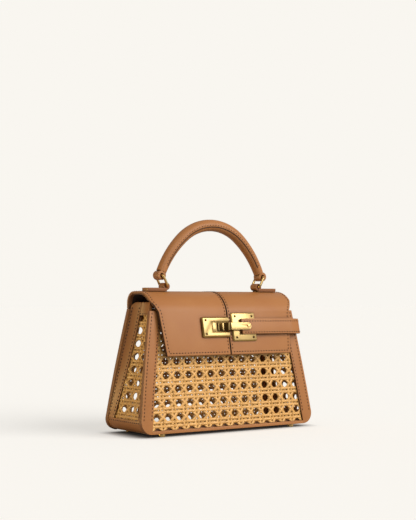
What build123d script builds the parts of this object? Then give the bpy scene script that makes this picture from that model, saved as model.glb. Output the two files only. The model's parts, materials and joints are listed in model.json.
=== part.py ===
"""A small structured handbag of cane webbing and leather.

A tapered box of four cane panels bound with leather bands stands on four metal studs. A leather
flap in two halves, on one lining, runs from the back over the top and down the front. A rolled
handle hangs on two metal rings, each held by a leather tab on the flap. A strap comes round the
right-hand end and hooks into a metal lock plate on the flap.

Millimetres. +X runs to the bag's right-hand end as its owner sees the front, +Y to the back and
+Z up. The bag is drawn with z = 0 at the base's underside, and is then moved so that the origin
is the centre of the floor rectangle that it fills.
"""
from build123d import *
import math
import os

# ---------------------------------------------------------------- driving dimensions
# Body
base_length = 203.3          # along X at the underside, to the corners before they are rounded
top_length = 165.2           # along X at the rim
side_bow = 1.1               # how far the ends bulge past a straight line, half way up
base_depth = 66.4            # along Y at the underside
top_depth = 39.4             # along Y at the rim
body_height = 120.0          # underside to the rim of the end panels
corner_radius = 11.0         # bottom corners seen from the front
front_panel_drop = 8.0       # the front panel stops this far below the rim, under the flap
back_panel_drop = 6.0        # the same at the back, where the flap's rear edge is sewn on top

# Panels and their leather bands
panel_thickness = 4.0        # leather, cane, leather
band_width = 12.4
cane_thickness = 1.2
cane_tuck = 8.0              # how far the cane runs in between the leathers of a band
base_thickness = 2.8
base_upturn = 12.0           # height of the base's turned-up ends
gusset_thickness = 3.0
gusset_inset = 0.6           # end panels sit this far inside the front and back panels' edges
gusset_hollow = 6.5          # how far the end panels bow inward, half way across
gusset_hollow_low = 0.6      # the same, at the bottom
gusset_hollow_height = 45.0  # height where the full hollow is reached
gusset_rim_chamfer = 3.0
gusset_front_band = 4.0      # widths of the end panels' upright bands
gusset_rear_band = 9.5
gusset_cane_edge = 2.0       # the cane stops this far inside the end panel's own edges

# Cane webbing
cane_pitch = 12.7            # hole to hole on the front and back
cane_first_row = 2.0         # slope height of the lowest row of holes
end_pitch_y = 12.7           # hole to hole across the end panels
end_pitch_z = 12.0           # hole to hole up the end panels
end_first_row = 10.0
end_column_shift = 2.0
hole_across_flats = 6.3
hole_edge_margin = 0.8       # least cane between a hole and a band

# Flap
flap_length = 167.2          # along X over the top
flap_shoulder_length = 155.2 # along X where the front starts to hang
flap_hem_length = 146.0      # along X at the hem
flap_leather = 2.0
flap_lining_thickness = 0.8
flap_seam_gap = 0.6
flap_rise = 10.4             # outer surface of the top above the rim
flap_rear_overhang = 0.825   # rear surface past the back panel's top edge
flap_rear_radius = 11.0
flap_front_break_y = -13.0   # where the top turns down
flap_front_break_radius = 26.0
flap_shoulder_y = -24.4
flap_shoulder_drop = 5.0     # below the rim
flap_shoulder_radius = 20.0
flap_hem_y = -33.0
flap_hem_drop = 49.7
flap_side_break_rise = 2.0   # above the rim, where the flap's ends start to narrow
flap_side_shoulder_drop = 9.0

# Handle, rings and tabs
ring_wire = 2.4
ring_gap_width = 10.6        # inside width of a ring, along Y
ring_corner_radius = 2.5
ring_foot_x = 55.0           # centre of the ring's lower bar
ring_head_x = 60.4           # centre of its upper bar
ring_foot_lift = 4.6         # lower bar above the flap's top
ring_head_lift = 15.1        # upper bar above the flap's top
hinge_clearance = 0.3
handle_ring_play = 0.8       # radial play of the rings' upper bars in the handle's loops
tab_width = 10.0
tab_thickness = 3.3
tab_end_x = 76.5
tab_roll_radius = 3.5
tab_roll_width = 9.0
handle_diameter = 11.4
handle_end_diameter = 9.8
handle_rise = 64.6           # centre line at the top, above the flap's top
handle_shoulder_x = 34.0
handle_shoulder_drop = 12.8  # from the top of the centre line to the shoulder
handle_foot_x = 58.4
handle_foot_lift = 18.6      # lower end of the centre line, above the flap's top
handle_loop_diameter = 9.0
handle_loop_width = 9.0

# Lock and strap
lock_drop = 23.8             # the lock's centre line below the rim
catch_left = -31.9
catch_right = 0.9
catch_height = 19.8
catch_thickness = 2.6
catch_pocket_left = -20.2
catch_pocket_height = 9.2
catch_pocket_depth = 2.0
keeper_left = 3.5
keeper_right = 32.0
keeper_height = 27.6
keeper_thickness = 1.8
plate_chamfer = 0.6
screw_diameter = 2.0
screw_height = 0.4
catch_screw_inset = (4.2, 3.3)
keeper_screw_inset = (4.2, 3.6)
strap_width = 14.8
strap_thickness = 2.8
strap_clearance = 0.3        # strap to what it lies on
strap_end_x = 13.0
strap_straight_x = 36.0      # the strap is parallel to the flap up to here
strap_edge_margin = 10.7     # from the fold back to where it passes the flap's edge
strap_edge_clearance = 0.6
strap_fold_overhang = 0.122  # the fold, and hinge axis, past the front panel's right edge
strap_fold_sink = 0.7        # fold axis inside the flap's front surface
strap_knuckle_diameter = 2.4 # round core of the fold
strap_corner_step = 1.2
strap_back_end_x = 60.0
strap_bend_radius = 1.9
tongue_thickness = 1.4
tongue_width = 7.2
tongue_end_x = 23.4
tongue_bend_x = -0.5
tongue_dip_x = -7.5
tongue_tip_x = -14.2
tongue_dip_height = 2.6
tongue_tip_clearance = 0.4
rivet_x = 20.2
rivet_head_diameter = 3.4
rivet_head_height = 0.7
rivet_shank_diameter = 1.6
rivet_fit = 0.05

# Feet
foot_height = 3.0
foot_diameter = 6.0
foot_edge_radius = 0.8
foot_x = 76.0
foot_y = 28.5

# ---------------------------------------------------------------- worked out from them
reach = base_length          # half-length of every cutting block, well past the bag
panel_lean = math.degrees(math.atan((base_depth - top_depth) / 2 / body_height))
slope = 1 / math.cos(math.radians(panel_lean))
front_panel_top = body_height - front_panel_drop
back_panel_top = body_height - back_panel_drop
flap_top = body_height + flap_rise
flap_shoulder_z = body_height - flap_shoulder_drop
flap_hem_z = body_height - flap_hem_drop
flap_side_break_z = body_height + flap_side_break_rise
flap_side_shoulder_z = body_height - flap_side_shoulder_drop
lock_z = body_height - lock_drop
flap_lean = math.degrees(
    math.atan((flap_shoulder_y - flap_hem_y) / (flap_shoulder_z - flap_hem_z)))
flap_lean_sin = math.sin(math.radians(flap_lean))
flap_lean_cos = math.cos(math.radians(flap_lean))


def half_length(z):
    """Half the body's length at a height, edge of the front panel."""
    t = z / body_height
    straight = (base_length + (top_length - base_length) * t) / 2
    return straight + side_bow * 4 * t * (1 - t)


def half_depth(z):
    """Half the body's depth at a height, outer face of the front panel."""
    return (base_depth + (top_depth - base_depth) * z / body_height) / 2


def inner_depth(z):
    """Half the room between the front and back panels at a height."""
    return half_depth(z) - panel_thickness * slope


def flap_front_y(z):
    """The flap's outer surface where it hangs down the front."""
    return flap_hem_y + (z - flap_hem_z) * flap_lean_sin / flap_lean_cos


flap_rear_y = half_depth(back_panel_top) + flap_rear_overhang
strap_fold_x = half_length(lock_z) + strap_fold_overhang
strap_edge_x = strap_fold_x - strap_edge_margin

front_plane = Plane(
    origin=(0, -base_depth / 2, 0), x_dir=(1, 0, 0),
    z_dir=(0, -math.cos(math.radians(panel_lean)), math.sin(math.radians(panel_lean))))
back_plane = Plane(
    origin=(0, base_depth / 2, 0), x_dir=(-1, 0, 0),
    z_dir=(0, math.cos(math.radians(panel_lean)), math.sin(math.radians(panel_lean))))
# The lock's own plane: x along the flap, y up it, z out of its leather.
lock_plane = Plane(
    origin=(0, flap_front_y(lock_z), lock_z), x_dir=(1, 0, 0),
    z_dir=(0, -flap_lean_cos, flap_lean_sin))
# Edge-on to the lock: x along the flap, y into its leather, z up it.
strap_plane = Plane(
    origin=lock_plane.origin, x_dir=(1, 0, 0), z_dir=(0, flap_lean_sin, flap_lean_cos))


# ---------------------------------------------------------------- shared shapes
def side_outline(height, inset, bottom, top):
    """The body's front outline narrowed by inset, with square corners, between two heights."""
    def edge(part):
        return half_length(part * body_height) - inset

    # One pair of long arcs serves every stretch, so that pieces cut from it meet exactly.
    low, high = -height, 2 * height
    right = ThreePointArc((edge(-1), low), (edge(0.5), height / 2), (edge(2), high))
    left = ThreePointArc((-edge(2), high), (-edge(0.5), height / 2), (-edge(-1), low))
    whole = make_face([right, Line(right @ 1, left @ 0), left, Line(left @ 1, right @ 0)])
    return whole & (Pos(0, (bottom + top) / 2) * Rectangle(2 * reach, top - bottom))


def rounded_outline(height, inset, top):
    """The body's front outline with its rounded bottom corners, moved inward by inset."""
    square = side_outline(height, 0, 0, top)
    corners = square.vertices().sort_by(Axis.Y)[:2]
    rounded = fillet(corners, corner_radius)
    return offset(rounded, -inset) if inset else rounded


def depth_prism(front_margin, rear_margin, bottom, top, chamfer=0.0):
    """A block through the bag along X, between the panels' inner faces less two margins."""
    low = top - chamfer
    points = [
        (front_margin - inner_depth(bottom), bottom),
        (inner_depth(bottom) - rear_margin, bottom),
        (inner_depth(low) - rear_margin, low),
    ]
    if chamfer:
        points.append((inner_depth(top) - rear_margin - chamfer, top))
        points.append((front_margin + chamfer - inner_depth(top), top))
    points.append((front_margin - inner_depth(low), low))
    face = make_face(Polyline(points, close=True))
    return extrude(Plane.YZ * face, reach, both=True)


def side_block(side):
    """Everything on one side of the bag's middle, side being -1 or 1."""
    return Pos(side * reach, 0, 0) * Box(2 * reach, 2 * reach, 4 * reach)


def hole_places(pitch_u, pitch_v, shift_u, first_v, bottom, top, low, high):
    """Centres of the holes that lie whole in the cane: above bottom, and well inside the rest."""
    margin = hole_across_flats / 2 + hole_edge_margin
    places = []
    for row in range(math.floor((top - margin - first_v) / pitch_v) + 1):
        v = first_v + row * pitch_v
        first = math.ceil((low(v) + margin - shift_u) / pitch_u)
        last = math.floor((high(v) - margin - shift_u) / pitch_u)
        if v > bottom + hole_across_flats / 2:
            places += [(shift_u + column * pitch_u, v) for column in range(first, last + 1)]
    return places


def cane_hole():
    return RegularPolygon(hole_across_flats / 2, 8, major_radius=False, rotation=22.5)


def ribbon(points, thickness, radius):
    """A strip seen edge-on, its centre line through points with rounded bends."""
    return trace(FilletPolyline(*points, radius=radius), line_width=thickness)


# ---------------------------------------------------------------- body
def flat_panel(plane, top_z):
    """The cane, two side bands and top band of the front or back panel."""
    height = body_height * slope
    top = top_z * slope
    layer_depth = (panel_thickness - cane_thickness) / 2
    cane_inset = band_width - cane_tuck
    cane_bottom = base_thickness * slope

    sheet = extrude(plane * rounded_outline(height, 0, top), -panel_thickness)
    opening = plane * side_outline(height, band_width, -1, top - band_width)
    middle = extrude(plane * side_outline(height, band_width, -1, top + 1), panel_thickness, both=True)
    blank_face = side_outline(height, cane_inset, cane_bottom, top - cane_inset)
    blank = extrude(plane.offset(-layer_depth) * blank_face, -cane_thickness)
    bands = sheet - extrude(opening, panel_thickness, both=True) - blank

    def cane_edge(v):
        return half_length(v / slope) - band_width

    places = hole_places(
        cane_pitch, cane_pitch, cane_pitch / 2, cane_first_row, cane_bottom, top - band_width,
        lambda v: -cane_edge(v), cane_edge)
    holed = blank_face - [Pos(*place) * cane_hole() for place in places]
    cane = extrude(plane.offset(-layer_depth) * holed, -cane_thickness)
    return {
        "cane": cane,
        "top_band": bands & middle,
        "left_band": (bands - middle) & side_block(-1),
        "right_band": (bands - middle) & side_block(1),
    }


def base_panel(panels):
    """The base, with both ends turned up between the front and back panels that stand on it."""
    flat_face = side_outline(body_height, band_width, 0, base_thickness)
    flat = extrude(Plane.XZ * flat_face, base_depth, both=True)
    across = -panel_thickness * slope
    flat = flat & depth_prism(across, across, -1, body_height)
    outer = rounded_outline(body_height, gusset_inset, body_height)
    inner = rounded_outline(body_height, gusset_inset + base_thickness, body_height)
    tray = extrude(Plane.XZ * (outer - inner), base_depth, both=True)
    tray = tray & depth_prism(0, 0, -1, base_upturn)
    return flat + tray - panels


def gusset_layer(inset, thickness):
    """One layer of the right-hand end panel, bowed inward and untrimmed."""
    levels = [
        (base_upturn, gusset_hollow_low),
        (gusset_hollow_height, gusset_hollow),
        (body_height, gusset_hollow),
    ]
    sections = []
    for z, hollow in levels:
        outer_x = half_length(z) - inset
        inner_x = outer_x - thickness
        y = inner_depth(z) + 1
        outer = ThreePointArc((outer_x, -y), (outer_x - hollow, 0), (outer_x, y))
        inner = ThreePointArc((inner_x, y), (inner_x - hollow, 0), (inner_x, -y))
        edges = [outer, Line(outer @ 1, inner @ 0), inner, Line(inner @ 1, outer @ 0)]
        sections.append(Pos(0, 0, z) * make_face(edges))
    return loft(sections)


def gusset():
    """The cane and the front, rear and top bands of the right-hand end panel."""
    low = base_upturn - 1
    sheet = gusset_layer(gusset_inset, gusset_thickness)
    sheet = sheet & depth_prism(0, 0, low, body_height, gusset_rim_chamfer)
    blank = gusset_layer(gusset_inset + (gusset_thickness - cane_thickness) / 2, cane_thickness)
    blank = blank & depth_prism(gusset_cane_edge, gusset_cane_edge, low, body_height - cane_tuck / 2)
    opening = depth_prism(gusset_front_band, gusset_rear_band, low, body_height - band_width)
    middle = depth_prism(gusset_front_band, gusset_rear_band, low, body_height + 1)
    bands = sheet - blank - opening

    places = hole_places(
        end_pitch_y, end_pitch_z, end_column_shift, end_first_row, base_upturn,
        body_height - band_width,
        lambda z: gusset_front_band - inner_depth(z),
        lambda z: inner_depth(z) - gusset_rear_band)
    holes = [extrude(Plane.YZ * (Pos(*place) * cane_hole()), reach) for place in places]
    front_half = Pos(0, -reach, 0) * Box(4 * reach, 2 * reach, 4 * reach)
    return {
        "cane": blank - holes,
        "top_band": bands & middle,
        "front_band": (bands - middle) & front_half,
        "rear_band": (bands - middle) - front_half,
    }


def feet():
    """Four metal studs under the base."""
    stud = Pos(0, 0, -foot_height / 2) * Cylinder(foot_diameter / 2, foot_height)
    rim = stud.edges().sort_by(Axis.Z)[:1]
    stud = fillet(rim, foot_edge_radius)
    names = {"front_left": (-1, -1), "front_right": (1, -1), "rear_left": (-1, 1), "rear_right": (1, 1)}
    return {
        name + "_foot": Pos(x * foot_x, y * foot_y, 0) * stud
        for name, (x, y) in names.items()
    }


# ---------------------------------------------------------------- flap
def flap_section(depth):
    """The flap's cross-section in YZ, from its outer surface to a depth below it."""
    points = [
        (flap_rear_y, back_panel_top),
        (flap_rear_y, flap_top),
        (flap_front_break_y, flap_top),
        (flap_shoulder_y, flap_shoulder_z),
        (flap_hem_y, flap_hem_z),
    ]
    radii = [flap_rear_radius, flap_front_break_radius, flap_shoulder_radius]
    inner_points = []
    for index, (y, z) in enumerate(points):
        before = Vector(*points[max(index - 1, 0)])
        here = Vector(y, z)
        after = Vector(*points[min(index + 1, len(points) - 1)])
        ways = [way.normalized() for way in (here - before, after - here) if way.length > 0]
        inward = [Vector(-way.Y, way.X) for way in ways]
        middle = sum(inward, Vector()).normalized()
        step = depth / middle.dot(inward[0])
        inner_points.append(here + middle * step)
    outer = FilletPolyline(*points, radius=radii)
    inner_radii = [radius - depth for radius in radii]
    inner = FilletPolyline(*[(p.X, p.Y) for p in reversed(inner_points)], radius=inner_radii[::-1])
    edges = outer.edges() + inner.edges() + [Line(outer @ 1, inner @ 0), Line(inner @ 1, outer @ 0)]
    return Plane.YZ * make_face(edges)


def flap_trim():
    """What is cut off both ends of the flap's front, which narrows toward the hem."""
    points = [
        (flap_length / 2, flap_side_break_z),
        (flap_shoulder_length / 2, flap_side_shoulder_z),
        (flap_hem_length / 2, flap_hem_z - 1),
        (reach, flap_hem_z - 1),
        (reach, flap_side_break_z),
    ]
    side = extrude(Plane.XZ * make_face(Polyline(points, close=True)), reach)
    return side + mirror(side, Plane.YZ)


def flap():
    """Two halves of leather and the lining that joins them."""
    trim = flap_trim()
    total = flap_leather + flap_lining_thickness
    leather = extrude(flap_section(flap_leather), flap_length / 2, both=True) - trim
    both = extrude(flap_section(total), flap_length / 2, both=True) - trim
    seam = Box(flap_seam_gap, 2 * reach, 4 * reach)
    halves = leather - seam
    return {
        "flap_left": halves & side_block(-1),
        "flap_right": halves & side_block(1),
        "flap_lining": both - leather,
    }


# ---------------------------------------------------------------- handle
def right_tab():
    """A doubled leather strip on the flap, rolled round the ring's lower bar."""
    foot = Pos(ring_foot_x, flap_top + ring_foot_lift)
    strip_face = make_face(Polyline([
        (ring_foot_x, flap_top),
        (tab_end_x, flap_top),
        (tab_end_x, flap_top + tab_thickness),
        (ring_foot_x, flap_top + tab_thickness),
    ], close=True))
    strip = extrude(Plane.XZ * strip_face, tab_width / 2, both=True)
    roll = extrude(Plane.XZ * (foot * Circle(tab_roll_radius)), tab_roll_width / 2, both=True)
    bar_room = Circle(ring_wire / 2 + hinge_clearance)
    bore = extrude(Plane.XZ * (foot * bar_room), tab_width, both=True)
    return strip + roll - bore


def right_ring():
    """A rounded rectangle of round wire, leaning outward."""
    rise = ring_head_lift - ring_foot_lift
    run = ring_head_x - ring_foot_x
    length = math.hypot(rise, run)
    width = ring_gap_width + ring_wire
    middle = ((ring_foot_x + ring_head_x) / 2, 0, flap_top + (ring_foot_lift + ring_head_lift) / 2)
    plane = Plane(origin=middle, x_dir=(0, 1, 0), z_dir=(rise, 0, -run))
    path = (plane * RectangleRounded(width, length, ring_corner_radius)).wire()
    start = Plane(origin=path @ 0, z_dir=path % 0)
    return sweep(start * Circle(ring_wire / 2), path=path)


def handle():
    """A rolled leather handle with a loop at each end round the ring's upper bar."""
    top = flap_top + handle_rise
    shoulder = (handle_shoulder_x, 0, top - handle_shoulder_drop)
    arch = ThreePointArc((-shoulder[0], 0, shoulder[2]), (0, 0, top), shoulder)
    leg_end = (handle_foot_x, 0, flap_top + handle_foot_lift)
    leg_path = TangentArc(shoulder, leg_end, tangent=arch % 1)
    wide = Plane(origin=leg_path @ 0, z_dir=leg_path % 0) * Circle(handle_diameter / 2)
    narrow = Plane(origin=leg_path @ 1, z_dir=leg_path % 1) * Circle(handle_end_diameter / 2)
    leg = sweep([wide, narrow], path=leg_path, multisection=True)
    start = Plane(origin=arch @ 0, z_dir=arch % 0)
    grip = sweep(start * Circle(handle_diameter / 2), path=arch)

    head = Pos(ring_head_x, flap_top + ring_head_lift)
    loop = extrude(
        Plane.XZ * (head * Circle(handle_loop_diameter / 2)), handle_loop_width / 2, both=True)
    bar_room = Circle(ring_wire / 2 + handle_ring_play)
    bore = extrude(Plane.XZ * (head * bar_room), handle_loop_width, both=True)
    end = leg + loop - bore
    return grip + end + mirror(end, Plane.YZ)


# ---------------------------------------------------------------- lock and strap
def plate(left, right, height, thickness):
    """A metal plate on the flap, its front edges bevelled."""
    outline = Pos((left + right) / 2, 0) * Rectangle(right - left, height)
    blank = extrude(lock_plane * outline, thickness)
    front = blank.faces().sort_by(Axis(lock_plane.origin, lock_plane.z_dir))[-1]
    return chamfer(front.edges(), plate_chamfer)


def catch_plate():
    """The left-hand plate. Its pocket is open to the right, where the tongue comes in."""
    blank = plate(catch_left, catch_right, catch_height, catch_thickness)
    length = catch_right - catch_pocket_left + catch_thickness
    mouth = Pos(catch_pocket_left + length / 2, 0) * Rectangle(length, catch_pocket_height)
    return blank - extrude(lock_plane.offset(catch_thickness) * mouth, -catch_pocket_depth)


def screw_heads(left, right, height, thickness, inset, columns):
    """Screw heads near a plate's corners, in as many columns as given."""
    across = [left + inset[0], right - inset[0]][:columns]
    up = height / 2 - inset[1]
    head = extrude(lock_plane.offset(thickness) * Circle(screw_diameter / 2), screw_height)
    row_way = lock_plane.y_dir
    return [
        Pos(x, side * up * row_way.Y, side * up * row_way.Z) * head
        for x in across for side in (-1, 1)
    ]


strap_height = keeper_thickness + strap_clearance + strap_thickness / 2
tongue_height = strap_height + (strap_thickness + tongue_thickness) / 2
rivet_hole = lock_plane * (Pos(rivet_x, 0) * Circle(rivet_shank_diameter / 2 + rivet_fit))
rivet_bore = extrude(rivet_hole, 2 * tongue_height)


def strap_front():
    """The strap's loose end, from the fold at the bag's right-hand end to its tip."""
    points = [
        (strap_end_x, -strap_height),
        (strap_straight_x, -strap_height),
        (strap_edge_x, -strap_edge_clearance - strap_thickness / 2),
        (strap_fold_x, strap_fold_sink),
    ]
    strip = strap_plane * ribbon(points, strap_thickness, 2 * strap_bend_radius)
    strip = extrude(strip, strap_width / 2, both=True)
    knuckle = Pos(strap_fold_x, strap_fold_sink) * Circle(strap_thickness / 2 + strap_clearance)
    return strip - extrude(strap_plane * knuckle, strap_width, both=True) - rivet_bore


def strap_back():
    """The rest of the strap, from the fold round the end panel to the back."""
    sections = []
    for side in (-1, 1):
        z = lock_z + side * strap_width / 2 * flap_lean_cos
        offset_out = strap_clearance + strap_thickness / 2
        outer_x = half_length(z) + offset_out
        back_y = half_depth(z) + offset_out
        points = [
            (strap_fold_x, flap_front_y(z) + strap_fold_sink / flap_lean_cos),
            (outer_x, -half_depth(z) - strap_corner_step),
            (outer_x, back_y),
            (strap_back_end_x, back_y),
        ]
        sections.append(Pos(0, 0, z) * ribbon(points, strap_thickness, strap_bend_radius))
    strip = loft(sections, ruled=True)
    knuckle = Pos(strap_fold_x, strap_fold_sink) * Circle(strap_knuckle_diameter / 2)
    return strip + extrude(strap_plane * knuckle, strap_width / 2, both=True)


def tongue():
    """The strap's metal tongue: flat on the strap, then dipping into the catch's pocket."""
    tip = catch_thickness - catch_pocket_depth + tongue_tip_clearance + tongue_thickness / 2
    points = [
        (tongue_end_x, -tongue_height),
        (tongue_bend_x, -tongue_height),
        (tongue_dip_x, -tongue_dip_height),
        (tongue_tip_x, -tip),
    ]
    strip = strap_plane * ribbon(points, tongue_thickness, tongue_thickness)
    strip = extrude(strip, tongue_width / 2, both=True)
    round_x = tongue_end_x - tongue_width / 2
    length = round_x - tongue_tip_x + 1
    outline = Pos(round_x - length / 2, 0) * Rectangle(length, tongue_width)
    outline += Pos(round_x, 0) * Circle(tongue_width / 2)
    return (strip & extrude(lock_plane * outline, 2 * tongue_height)) - rivet_bore


def rivet():
    """The rivet through the tongue and the strap's tip."""
    foot = strap_height - strap_thickness / 2
    seat = tongue_height + tongue_thickness / 2
    place = Pos(rivet_x, 0)
    shank = extrude(lock_plane.offset(foot) * (place * Circle(rivet_shank_diameter / 2)), seat - foot)
    head = extrude(lock_plane.offset(seat) * (place * Circle(rivet_head_diameter / 2)), rivet_head_height)
    return shank + head


# ---------------------------------------------------------------- the whole bag
parts = {}

front = flat_panel(front_plane, front_panel_top)
back = flat_panel(back_plane, back_panel_top)
for name, piece in front.items():
    parts["front_" + name] = piece
for name, piece in back.items():
    parts["back_" + name] = piece

standing_on_base = [piece for side in (front, back) for piece in side.values()]
parts["base_panel"] = base_panel(standing_on_base)
for name, piece in gusset().items():
    parts["right_end_" + name] = piece
    parts["left_end_" + name] = mirror(piece, Plane.YZ)
parts.update(feet())
parts.update(flap())

parts["right_tab"] = right_tab()
parts["left_tab"] = mirror(parts["right_tab"], Plane.YZ)
parts["right_ring"] = right_ring()
parts["left_ring"] = mirror(parts["right_ring"], Plane.YZ)
parts["handle"] = handle()

parts["catch_plate"] = catch_plate()
parts["keeper_plate"] = plate(keeper_left, keeper_right, keeper_height, keeper_thickness)
heads = screw_heads(catch_left, catch_right, catch_height, catch_thickness, catch_screw_inset, 1)
heads += screw_heads(keeper_left, keeper_right, keeper_height, keeper_thickness, keeper_screw_inset, 2)
parts["lock_screws"] = Part() + heads
parts["strap_front"] = strap_front()
parts["strap_back"] = strap_back()
parts["tongue"] = tongue()
parts["tongue_rivet"] = rivet()

boxes = [piece.bounding_box() for piece in parts.values()]
front_y = min(box.min.Y for box in boxes)
back_y = max(box.max.Y for box in boxes)
standing = Pos(0, -(front_y + back_y) / 2, foot_height)
os.makedirs("parts", exist_ok=True)
for name, piece in parts.items():
    export_step(piece.moved(standing), f"parts/{name}.step")
print("moved by", standing.position)
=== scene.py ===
import json
import math

import bpy
import numpy as np
from mathutils import Matrix, Vector

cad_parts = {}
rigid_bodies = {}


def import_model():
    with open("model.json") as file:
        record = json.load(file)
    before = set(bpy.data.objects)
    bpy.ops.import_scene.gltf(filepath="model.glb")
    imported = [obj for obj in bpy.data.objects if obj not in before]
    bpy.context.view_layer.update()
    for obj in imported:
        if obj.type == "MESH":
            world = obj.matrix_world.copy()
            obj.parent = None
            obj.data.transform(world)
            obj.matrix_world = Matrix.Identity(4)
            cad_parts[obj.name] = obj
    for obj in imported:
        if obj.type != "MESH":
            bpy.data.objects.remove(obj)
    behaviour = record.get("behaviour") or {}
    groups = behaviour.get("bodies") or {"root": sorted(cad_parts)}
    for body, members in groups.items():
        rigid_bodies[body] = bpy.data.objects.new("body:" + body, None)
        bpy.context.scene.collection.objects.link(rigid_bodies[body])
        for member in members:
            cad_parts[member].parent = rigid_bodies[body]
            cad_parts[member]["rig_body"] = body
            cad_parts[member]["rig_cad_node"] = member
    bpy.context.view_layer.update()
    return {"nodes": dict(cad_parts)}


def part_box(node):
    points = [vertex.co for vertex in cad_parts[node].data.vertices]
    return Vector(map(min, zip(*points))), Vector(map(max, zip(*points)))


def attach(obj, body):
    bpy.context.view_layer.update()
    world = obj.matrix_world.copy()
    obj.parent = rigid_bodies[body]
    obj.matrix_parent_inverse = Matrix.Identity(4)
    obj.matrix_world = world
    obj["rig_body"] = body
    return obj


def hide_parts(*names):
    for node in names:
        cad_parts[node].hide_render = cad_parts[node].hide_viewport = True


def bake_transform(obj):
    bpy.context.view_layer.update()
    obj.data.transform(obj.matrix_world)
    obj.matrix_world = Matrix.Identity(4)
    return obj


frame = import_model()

bl_info = {
    "name": "Cane and leather handbag",
    "version": (1, 0, 0),
    "blender": (4, 5, 0),
    "location": "3D View > Sidebar > Handbag",
    "description": "Models a small handbag of woven cane and smooth leather around its CAD frame",
    "category": "Add Mesh",
}

MM = 0.001

# The bag's own sizes, in millimetres, from the base's underside and its middle.
BASE_LENGTH, TOP_LENGTH, SIDE_BOW = 203.3, 165.2, 1.1
BASE_DEPTH, TOP_DEPTH = 66.4, 39.4
BODY_HEIGHT, FRONT_TOP, BACK_TOP = 120.0, 112.0, 114.0
PANEL_THICKNESS, CANE_THICKNESS, BAND_WIDTH = 4.0, 1.2, 12.4
BASE_THICKNESS, BASE_UPTURN = 2.8, 12.0
CORNER_RADIUS = 11.0
END_INSET = 0.6
END_REAR_BAND, END_CANE_EDGE = 9.5, 2.0
CANE_PITCH, CANE_FIRST_ROW = 12.7, 2.0
CANE_ABOVE_BASE, CANE_BELOW_TOP, CANE_SIDE_INSET, END_CANE_BELOW_TOP = 0.2, 5.0, 6.0, 6.0
BACK_CANE_SHIFT = (-0.65, 2.5)
END_PITCH_Z, END_FIRST_ROW, END_COLUMN_SHIFT = 12.0, 9.3, 6.5
RIGHT_END_CANE_SHIFT = (2.5, 2.6)
FLAP_TOP, FLAP_REAR_Y, FLAP_BREAK_Y = 130.4, 21.2, -13.0
FLAP_SHOULDER, FLAP_HEM = (-24.4, 115.0), (-33.0, 70.3)
FLAP_LENGTH, FLAP_SHOULDER_LENGTH, FLAP_HEM_LENGTH = 167.2, 155.2, 146.0
FLAP_SIDE_BREAK, FLAP_SIDE_SHOULDER = 122.0, 111.0
LOCK_Z = 96.2
STRAP_WIDTH, STRAP_THICKNESS = 14.8, 2.8

LEAN = math.atan((BASE_DEPTH - TOP_DEPTH) / 2 / BODY_HEIGHT)
SLOPE = 1 / math.cos(LEAN)
FLAP_LEAN = math.atan((FLAP_SHOULDER[0] - FLAP_HEM[0]) / (FLAP_SHOULDER[1] - FLAP_HEM[1]))

base_low, base_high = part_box("base_panel")
FLOOR_MIDDLE = Vector((0, (base_low.y + base_high.y) / 2, base_low.z))


def at(x, y, z):
    """A point of the bag in metres, from millimetres above the base's middle."""
    return FLOOR_MIDDLE + Vector((x, y, z)) * MM


def half_length(z):
    """Half the body's length at a height, to the edge of the front panel."""
    t = z / BODY_HEIGHT
    return (BASE_LENGTH + (TOP_LENGTH - BASE_LENGTH) * t) / 2 + SIDE_BOW * 4 * t * (1 - t)


def half_depth(z):
    """Half the body's depth at a height, to the outer face of the front panel."""
    return (BASE_DEPTH + (TOP_DEPTH - BASE_DEPTH) * z / BODY_HEIGHT) / 2


def inner_depth(z):
    """Half the room between the front and back panels at a height."""
    return half_depth(z) - PANEL_THICKNESS * SLOPE


def end_terms(y, z):
    """Terms of the smooth surface that stands for an end panel's hollow face."""
    y, z = y / 30, z / BODY_HEIGHT
    return [y ** i * z ** j for i in (0, 2, 4) for j in range(5)]


def end_face_fit():
    """Weights of those terms that meet the outer face of the right-hand end's cane."""
    mesh = frame["nodes"]["right_end_cane"].data
    rows, reaches = [], []
    for face in mesh.polygons:
        if face.normal.x > 0.7:
            x, y, z = (face.center - FLOOR_MIDDLE) / MM
            rows.append(end_terms(y, z))
            reaches.append(x)
    return np.linalg.lstsq(np.array(rows), np.array(reaches), rcond=None)[0]


END_FACE = end_face_fit()


def end_surface(y, z, depth):
    """How far from the bag's middle an end panel is, depth below the outer face of its cane."""
    return float(np.dot(END_FACE, end_terms(y, z))) - depth


def flap_front_y(z):
    """The flap's outer surface where it hangs down the front."""
    return FLAP_HEM[0] + (z - FLAP_HEM[1]) * math.tan(FLAP_LEAN)


# ---------------------------------------------------------------- small tools
def linear(colour):
    """An sRGB hex colour as linear red, green, blue and alpha."""
    parts = [int(colour[i:i + 2], 16) / 255 for i in (1, 3, 5)]
    return [c / 12.92 if c <= 0.04045 else ((c + 0.055) / 1.055) ** 2.4 for c in parts] + [1]


def only(*pieces):
    """Selects these pieces alone, the first one active."""
    if bpy.context.object and bpy.context.object.mode != "OBJECT":
        bpy.ops.object.mode_set(mode="OBJECT")
    bpy.ops.object.select_all(action="DESELECT")
    for piece in pieces:
        piece.select_set(True)
    bpy.context.view_layer.objects.active = pieces[0]
    return pieces[0]


def modify(piece, kind, **settings):
    """Adds a modifier and applies it."""
    only(piece)
    modifier = piece.modifiers.new(kind, kind)
    for name, value in settings.items():
        setattr(modifier, name, value)
    bpy.ops.object.modifier_apply(modifier=modifier.name)


def joined(name, pieces):
    """The pieces as one mesh, in the place of the first."""
    only(*pieces)
    if len(pieces) > 1:
        bpy.ops.object.join()
    pieces[0].name = name
    return pieces[0]


def settle(piece):
    """Puts a piece's place and turn into its mesh."""
    only(piece)
    bpy.ops.object.transform_apply(location=True, rotation=True, scale=True)


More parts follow.
